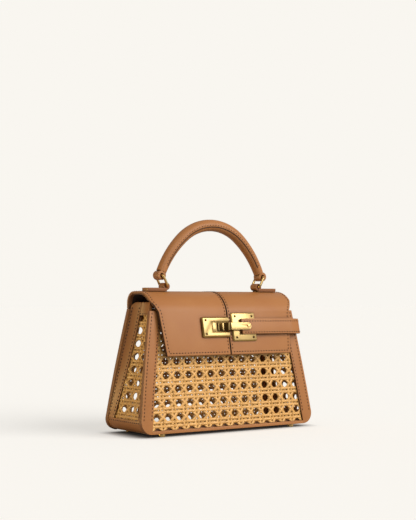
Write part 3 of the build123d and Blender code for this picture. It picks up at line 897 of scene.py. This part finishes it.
def handle_line():
    """The handle's whole centre line, from its left foot over the top to its right foot."""
    x, z = HANDLE_SHOULDER
    drop = HANDLE_TOP - z
    radius = (x * x + drop * drop) / 2 / drop
    middle = Vector((0, 0, HANDLE_TOP - radius))
    shoulder = Vector((x, 0, z))
    inward = (middle - shoulder).normalized()
    chord = Vector((HANDLE_FOOT[0], 0, HANDLE_FOOT[1])) - shoulder
    leg_radius = chord.length_squared / 2 / chord.dot(inward)
    leg_middle = shoulder + inward * leg_radius
    foot_way = shoulder + chord - leg_middle
    foot_turn, shoulder_turn = math.atan2(foot_way.z, foot_way.x), math.atan2(-inward.z, -inward.x)
    leg = handle_spots(foot_turn, shoulder_turn, leg_middle, leg_radius)
    half = leg + handle_spots(shoulder_turn, math.pi / 2, middle, radius)[1:]
    other = [(Vector((-p.x, 0, p.z)), Vector((-n.x, 0, n.z))) for p, n in half[:-1]]
    return other + half[::-1]


def handle_hints(degrees):
    """Hint points along the handle's surface, turned from its inside toward its front."""
    turn, front = math.radians(degrees), Vector((0, -1, 0))
    return [at(*(place + (inward * math.cos(turn) + front * math.sin(turn)) * HANDLE_HINT_REACH))
            for place, inward in handle_line()[2:-2]]


class HANDBAG_OT_handle(bpy.types.Operator):
    """Roll and sew the leather handle"""
    bl_idname = "handbag.handle"
    bl_label = "Handle"

    def execute(self, context):
        grip = rounded_copy("handle", "handle_leather", HANDLE_EDGE)
        dress(grip, finishes(context)["leather"])
        belongs(grip, "handle", "leather", "handle")
        sink = -HANDLE_SEAM_SINK * MM
        seams = []
        for turn in HANDLE_SEAMS:
            spots = laid_on(grip, along(handle_hints(turn), 2 * MM), sink)
            seam = curve_through("handle_seam", spots)
            seam.data.bevel_depth, seam.data.bevel_resolution = HANDLE_SEAM_RADIUS * MM, 1
            seam.data.use_fill_caps = True
            only(seam)
            bpy.ops.object.convert(target="MESH")
            bpy.ops.object.shade_smooth()
            seams.append(bpy.context.object)
        seam = joined("handle_seams", seams)
        # The seam lines take the darkened edge paint: a dark joint, with painted shade in its
        # crease.
        dress(seam, finishes(context)["dark_edge"])
        belongs(seam, "handle", "leather_edge")
        rows = [(grip, handle_hints(turn)) for turn in HANDLE_STITCHES]
        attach(stitching("handle_stitching", rows, context, sink), "handle")
        return {"FINISHED"}


class HANDBAG_OT_rings_and_tabs(bpy.types.Operator):
    """Make the wire rings and the leather tabs that hold them"""
    bl_idname = "handbag.rings_and_tabs"
    bl_label = "Rings and tabs"

    def execute(self, context):
        sizes = context.scene.bag_sizes
        for name in ("left", "right"):
            ring = merged_copy(f"{name}_ring", f"{name}_wire_ring")
            bpy.ops.object.shade_smooth()
            dress(ring, finishes(context)["gold_metal"])
            belongs(ring, f"{name}_ring", "gold_metal", f"{name}_ring")
            tab = rounded_copy(f"{name}_tab", f"{name}_tab_leather", sizes.leather_edge / MM)
            dress(tab, finishes(context)["leather"], finishes(context)["leather_edge"])
            paint_faces(tab, 1, lambda middle, normal: abs(normal.y) > 0.7)
            belongs(tab, "bag", "leather", f"{name}_tab")
        return {"FINISHED"}


# ---------------------------------------------------------------- lock and strap
# Millimetres in the lock's own plane: x along the flap, y up it, z out of its leather.
CATCH, CATCH_HEIGHT, CATCH_THICKNESS, CATCH_SLANT = (-31.9, 0.9), 19.8, 2.6, 1.3
KEEPER, KEEPER_HEIGHT, KEEPER_THICKNESS, KEEPER_SLANT = (3.5, 32.0), 27.6, 1.8, 1.0
POCKET_LEFT, POCKET_HEIGHT, POCKET_DEPTH = -20.2, 9.2, 2.0
WINDOW_LEFT, WINDOW_RIGHT, WINDOW_RIM = -14.3, -1.2, 0.7
HOOK_START = -1.6
PAD_END, PAD_GROOVE, PAD_END_GAP, PAD_SIDE_GAP, PAD_SINK = -14.9, 0.7, 0.3, 0.2, 0.1
PAST_CATCH = 4.0
SCREW_DIAMETER, SCREW_RISE, SCREW_SLOT, SCREW_EDGE = 2.3, 0.4, 0.35, 0.15
CATCH_SCREW_INSET, KEEPER_SCREW_INSET = (4.2, 3.3), (4.2, 3.6)
STRAP_CLEARANCE = 0.3
STRAP_HEIGHT = KEEPER_THICKNESS + STRAP_CLEARANCE + STRAP_THICKNESS / 2
STRAP_END, STRAP_STRAIGHT, STRAP_EDGE, STRAP_FOLD, STRAP_BACK_END = 13.0, 36.0, 76.5, 87.2, 60.0
STRAP_EDGE_CLEARANCE, STRAP_FOLD_SINK, STRAP_CORNER_STEP = 0.6, 0.7, 1.2
STRAP_BEND, STRAP_ROUNDING, STRAP_SEAM, STRAP_BLEND = 1.5, 0.55, 2.0, 2.5


def on_lock(x, y, out):
    """A point in the lock's plane, out above the flap's leather."""
    lean_sin, lean_cos = math.sin(FLAP_LEAN), math.cos(FLAP_LEAN)
    return at(x, flap_front_y(LOCK_Z) + y * lean_sin - out * lean_cos,
              LOCK_Z + y * lean_cos + out * lean_sin)


def place_on_lock(piece):
    """Moves a piece modelled in millimetres in XY, its back at z = 0, onto the flap."""
    middle = on_lock(0, 0, 0)
    turn = Matrix.Rotation(math.pi / 2 - FLAP_LEAN, 4, "X")
    piece.matrix_world = Matrix.Translation(middle) @ turn @ Matrix.Scale(MM, 4)
    settle(piece)


def block(left, right, height, low, high):
    """A plain block in the lock's plane, in millimetres."""
    bpy.ops.object.select_all(action="DESELECT")
    bpy.ops.mesh.primitive_cube_add(size=1, location=((left + right) / 2, 0, (low + high) / 2))
    piece = bpy.context.object
    piece.scale = (right - left, height, high - low)
    settle(piece)
    return piece


def cut(piece, tool):
    """Takes the tool's shape out of the piece, and the tool away."""
    modify(piece, "BOOLEAN", operation="DIFFERENCE", object=tool, solver="EXACT")
    bpy.data.objects.remove(tool)


def bevelled_plate(ends, height, thickness, slant):
    """A plate whose front edges slope away, as milled and polished ones do."""
    piece = block(*ends, height, 0, thickness)
    bpy.ops.object.mode_set(mode="EDIT")
    bpy.ops.mesh.select_mode(type="FACE")
    bpy.ops.object.mode_set(mode="OBJECT")
    for face in piece.data.polygons:
        face.select = face.normal.z > 0.5
    bpy.ops.object.mode_set(mode="EDIT")
    bpy.ops.mesh.bevel(offset=slant, segments=1)
    bpy.ops.object.mode_set(mode="OBJECT")
    return piece


def polish(piece, radius):
    """Softens a metal piece's edges and shades it."""
    modify(piece, "BEVEL", width=radius, segments=2, limit_method="ANGLE",
           angle_limit=math.radians(28))
    only(piece)
    bpy.ops.object.shade_smooth_by_angle(angle=math.radians(25))


def screw_head():
    """A slotted, slightly domed screw head at the lock plane's middle, in millimetres."""
    bpy.ops.object.select_all(action="DESELECT")
    bpy.ops.mesh.primitive_cylinder_add(
        vertices=20, radius=SCREW_DIAMETER / 2, depth=2 * SCREW_RISE, location=(0, 0, 0))
    head = bpy.context.object
    modify(head, "BEVEL", width=SCREW_EDGE, segments=2, limit_method="ANGLE")
    cut(head, block(-SCREW_DIAMETER, SCREW_DIAMETER, SCREW_SLOT, 0.05, 2))
    return head


class HANDBAG_OT_lock(bpy.types.Operator):
    """Make the lock's plates, screws, tongue and rivet"""
    bl_idname = "handbag.lock"
    bl_label = "Lock"

    def execute(self, context):
        radius = context.scene.bag_sizes.metal_edge / MM
        gold = finishes(context)["gold_metal"]
        catch = bevelled_plate(CATCH, CATCH_HEIGHT, CATCH_THICKNESS, CATCH_SLANT)
        floor, groove = CATCH_THICKNESS - POCKET_DEPTH, CATCH_THICKNESS - PAD_GROOVE
        for left, right, height, low in (
                (POCKET_LEFT - PAD_GROOVE, PAST_CATCH, POCKET_HEIGHT + 2 * PAD_GROOVE, groove),
                (PAD_END, PAST_CATCH, POCKET_HEIGHT, floor),
                (WINDOW_LEFT, WINDOW_RIGHT, POCKET_HEIGHT - 2 * WINDOW_RIM, -1)):
            cut(catch, block(left, right, height, low, PAST_CATCH))
        pad = block(POCKET_LEFT, PAD_END - PAD_END_GAP, POCKET_HEIGHT - 2 * PAD_SIDE_GAP, floor,
                    CATCH_THICKNESS - PAD_SINK)
        keeper = bevelled_plate(KEEPER, KEEPER_HEIGHT, KEEPER_THICKNESS, KEEPER_SLANT)
        for piece in (catch, pad, keeper):
            polish(piece, radius)
        out = (on_lock(0, 0, 1) - on_lock(0, 0, 0)).normalized()
        for node, pieces in (("catch_plate", [catch, pad]), ("keeper_plate", [keeper])):
            plate = joined(f"{node}_gold", pieces)
            place_on_lock(plate)
            dress(plate, gold, finishes(context)["bevel_metal"])
            # Painted shade: faces that don't look outward, the bevels and sides, take the darker
            # gold.
            paint_faces(plate, 1, lambda middle, normal: abs(normal.dot(out)) < 0.93)
            belongs(plate, "bag", "gold_metal", node)
        heads = []
        for ends, height, thickness, inset, columns in (
                (CATCH, CATCH_HEIGHT, CATCH_THICKNESS, CATCH_SCREW_INSET, 1),
                (KEEPER, KEEPER_HEIGHT, KEEPER_THICKNESS, KEEPER_SCREW_INSET, 2)):
            for column in range(columns):
                x = ends[0] + inset[0] if column == 0 else ends[1] - inset[0]
                for side in (-1, 1):
                    head = screw_head()
                    head.location = (x, side * (height / 2 - inset[1]), thickness)
                    head.rotation_euler.z = 0.7 * x * side  # each slot stopped at its own turn
                    settle(head)
                    heads.append(head)
        screws = joined("lock_screw_heads", heads)
        place_on_lock(screws)
        only(screws)
        bpy.ops.object.shade_smooth_by_angle(angle=math.radians(30))
        dress(screws, finishes(context)["screw_metal"])
        belongs(screws, "bag", "gold_metal", "lock_screws")
        hook = on_lock(HOOK_START, 0, 0).x
        for node in ("tongue", "tongue_rivet"):
            piece = rounded_copy(node, f"{node}_gold", radius)
            # Painted shade and painted reflection streaks on the tongue, where it dips past the
            # hook's start into the catch.
            dress(piece, gold, finishes(context)["recess_metal"])
            paint_faces(piece, 1, lambda middle, normal: middle.x < hook)
            belongs(piece, "strap", "gold_metal", node)
        return {"FINISHED"}


def strap_line(side):
    """The strap's middle surface along one of its long edges, from its tip round to the back."""
    half = side * STRAP_WIDTH / 2
    z = LOCK_Z + half * math.cos(FLAP_LEAN)
    outer_x = half_length(z) + STRAP_CLEARANCE + STRAP_THICKNESS / 2
    back_y = half_depth(z) + STRAP_CLEARANCE + STRAP_THICKNESS / 2
    return [
        on_lock(STRAP_END, half, STRAP_HEIGHT), on_lock(STRAP_STRAIGHT, half, STRAP_HEIGHT),
        on_lock(STRAP_EDGE, half, STRAP_EDGE_CLEARANCE + STRAP_THICKNESS / 2),
        on_lock(STRAP_FOLD, half, -STRAP_FOLD_SINK),
        at(outer_x, -half_depth(z) - STRAP_CORNER_STEP, z),
        at(outer_x, back_y, z), at(STRAP_BACK_END, back_y, z)]


class HANDBAG_OT_strap(bpy.types.Operator):
    """Make and sew the strap that comes round the right-hand end"""
    bl_idname = "handbag.strap"
    bl_label = "Strap"

    def execute(self, context):
        low, high = strap_line(-1), strap_line(1)
        mesh = bpy.data.meshes.new("strap_leather")
        count = len(low)
        faces = [(i, i + 1, count + i + 1, count + i) for i in range(count - 1)]
        mesh.from_pydata([*low, *high], [], faces)
        strap = bpy.data.objects.new("strap_leather", mesh)
        context.scene.collection.objects.link(strap)
        modify(strap, "BEVEL", width=STRAP_BEND * MM, segments=5, limit_method="ANGLE",
               angle_limit=math.radians(2))
        modify(strap, "SOLIDIFY", thickness=STRAP_THICKNESS * MM, offset=0)
        only(strap)
        bpy.ops.object.mode_set(mode="EDIT")
        bpy.ops.mesh.select_all(action="SELECT")
        bpy.ops.mesh.normals_make_consistent(inside=False)
        bpy.ops.object.mode_set(mode="OBJECT")
        modify(strap, "BEVEL", width=STRAP_ROUNDING * MM, segments=3, limit_method="ANGLE",
               angle_limit=math.radians(50))
        only(strap)
        bpy.ops.object.shade_smooth_by_angle(angle=math.radians(30))
        dress(strap, finishes(context)["leather"], finishes(context)["leather_edge"])
        paint_faces(strap, 1, lambda middle, normal: abs(normal.z) > 0.8 or (
            middle.x < on_lock(STRAP_END, 0, 0).x + 0.5 * MM))
        rows = []
        for near, far in ((low, high), (high, low)):
            hints = []
            for a, b in zip(near, far):
                place = a.lerp(b, STRAP_SEAM / STRAP_WIDTH)
                out = Vector((0, -1, 0)) if place.y < 0 else Vector((0, 1, 0))
                if place.x > half_length(LOCK_Z) * MM:
                    out = Vector((1, 0, 0))
                hints.append(place + out * 3 * MM)
            for tip in (0, -1):
                hints[tip].x += STRAP_SEAM * MM
            # Each row stops at the fold and starts again past it, on the strap's other stretch.
            rows += [(strap, hints[:4]), (strap, hints[4:])]
        thread = stitching("strap_stitching", rows, context)
        for piece in (strap, thread):
            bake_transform(piece)
        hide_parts("strap_front", "strap_back")
        return {"FINISHED"}


# ---------------------------------------------------------------- studio
FLOOR_SIZE, FLOOR_GLOW, FLOOR_BOUNCE = 60, 0.56, 0.535
AMBIENT_LIGHT, AMBIENT_SHADE = 0.52, 0.10


def area_light(name, place, target, size, watts, unlit, colour="#FFFFFF"):
    """A soft box that faces a target and leaves out the pieces of one collection."""
    light = bpy.data.lights.new(name, "AREA")
    light.shape, light.size, light.energy = "SQUARE", size, watts
    light.color = linear(colour)[:3]
    lamp = bpy.data.objects.new(name, light)
    lamp.location = place
    lamp.rotation_euler = (Vector(target) - Vector(place)).to_track_quat("-Z", "Y").to_euler()
    bpy.context.scene.collection.objects.link(lamp)
    lamp.light_linking.receiver_collection = unlit


def studio_world(colour, ambient, shade):
    """A plain pale backdrop, whose light on the bag falls off toward its left and low down."""
    world = bpy.data.worlds.new("studio_world")
    bpy.context.scene.world = world
    world.use_nodes = True
    tree = world.node_tree
    tree.nodes.clear()
    way = add_node(tree, "ShaderNodeTexCoord").outputs["Generated"]
    parts = add_node(tree, "ShaderNodeSeparateXYZ", {"Vector": way}).outputs
    lean = add_node(tree, "ShaderNodeMath", {0: parts["X"], 1: parts["Z"]}, operation="ADD")
    level = add_node(tree, "ShaderNodeMapRange", {
        "Value": lean.outputs[0], "From Min": -1.0, "From Max": 1.0, "To Min": shade,
        "To Max": ambient}, interpolation_type="SMOOTHSTEP")
    soft = add_node(tree, "ShaderNodeBackground", {"Color": colour, "Strength": level.outputs[0]})
    plain = add_node(tree, "ShaderNodeBackground", {"Color": colour, "Strength": 1.0})
    seen = add_node(tree, "ShaderNodeLightPath").outputs["Is Camera Ray"]
    both = add_node(tree, "ShaderNodeMixShader", {0: seen, 1: soft.outputs[0], 2: plain.outputs[0]})
    add_node(tree, "ShaderNodeOutputWorld", {"Surface": both.outputs[0]})


class HANDBAG_OT_studio(bpy.types.Operator):
    """Set up the floor, soft lights and camera"""
    bl_idname = "handbag.studio"
    bl_label = "Studio"

    def execute(self, context):
        colours = context.scene.bag_colours
        bpy.ops.object.select_all(action="DESELECT")
        bpy.ops.mesh.primitive_plane_add(size=FLOOR_SIZE, location=(0, 0, 0))
        floor = bpy.context.object
        floor.name = "studio_floor"
        dress(floor, paper_material(
            "studio_paper", colours.floor, colours.backdrop, FLOOR_GLOW, FLOOR_BOUNCE))
        sun = bpy.data.lights.new("key", "SUN")
        sun.energy, sun.angle = 2.65, math.radians(50)
        sun.color = linear("#FFF9F2")[:3]
        key = bpy.data.objects.new("key", sun)
        key.rotation_euler = Vector((-0.42, 0.76, -0.47)).to_track_quat("-Z", "Y").to_euler()
        key.visible_glossy = False  # the metal mirrors the soft boxes instead
        context.scene.collection.objects.link(key)
        # The soft boxes leave the floor out, so that it keeps the backdrop's even tone.
        unlit = bpy.data.collections.new("left_out_by_soft_boxes")
        unlit.objects.link(floor)
        unlit.collection_objects[0].light_linking.link_state = "EXCLUDE"
        area_light("strip", (-0.5, -1.0, 0.9), (0, 0, 0.12), 0.35, 3.0, unlit)
        area_light("card", (0.6, -0.95, 0.6), (0, 0, 0.1), 0.55, 3.2, unlit)
        area_light("warm_fill", (-0.9, 0.45, 0.05), (-0.1, 0, 0.02), 0.4, 6.2, unlit, "#FFE39A")
        studio_world(colours.backdrop, AMBIENT_LIGHT, AMBIENT_SHADE)
        camera = bpy.data.objects.new("camera", bpy.data.cameras.new("camera"))
        camera.data.lens, camera.data.sensor_width = 81.1, 36
        camera.location = (-0.6685, -0.9267, 0.1225)
        camera.rotation_euler = (math.radians(92.09), 0, math.radians(-35.62))
        context.scene.collection.objects.link(camera)
        context.scene.camera = camera
        context.scene.view_settings.view_transform = "Standard"
        return {"FINISHED"}


# ---------------------------------------------------------------- panel and registration
MAKERS = (
    HANDBAG_OT_studio, HANDBAG_OT_panel_cane, HANDBAG_OT_end_cane, HANDBAG_OT_body_leather,
    HANDBAG_OT_feet, HANDBAG_OT_flap, HANDBAG_OT_handle, HANDBAG_OT_rings_and_tabs,
    HANDBAG_OT_lock, HANDBAG_OT_strap)


class HANDBAG_PT_sidebar(bpy.types.Panel):
    """The handbag's sizes, colours and makers"""
    bl_idname = "HANDBAG_PT_sidebar"
    bl_label = "Handbag"
    bl_space_type = "VIEW_3D"
    bl_region_type = "UI"
    bl_category = "Handbag"

    def draw(self, context):
        for group in (context.scene.bag_sizes, context.scene.bag_colours):
            for name in group.bl_rna.properties.keys():
                if name not in ("rna_type", "name"):
                    self.layout.prop(group, name)
        for maker in MAKERS:
            self.layout.operator(maker.bl_idname)


CLASSES = (BagSizes, BagColours, *MAKERS, HANDBAG_PT_sidebar)


def register():
    for cls in CLASSES:
        bpy.utils.register_class(cls)
    bpy.types.Scene.bag_sizes = bpy.props.PointerProperty(type=BagSizes)
    bpy.types.Scene.bag_colours = bpy.props.PointerProperty(type=BagColours)


def unregister():
    del bpy.types.Scene.bag_sizes
    del bpy.types.Scene.bag_colours
    for cls in reversed(CLASSES):
        bpy.utils.unregister_class(cls)


def main():
    register()
    for maker in MAKERS:
        group, name = maker.bl_idname.split(".")
        getattr(getattr(bpy.ops, group), name)()


if __name__ == "__main__":
    main()
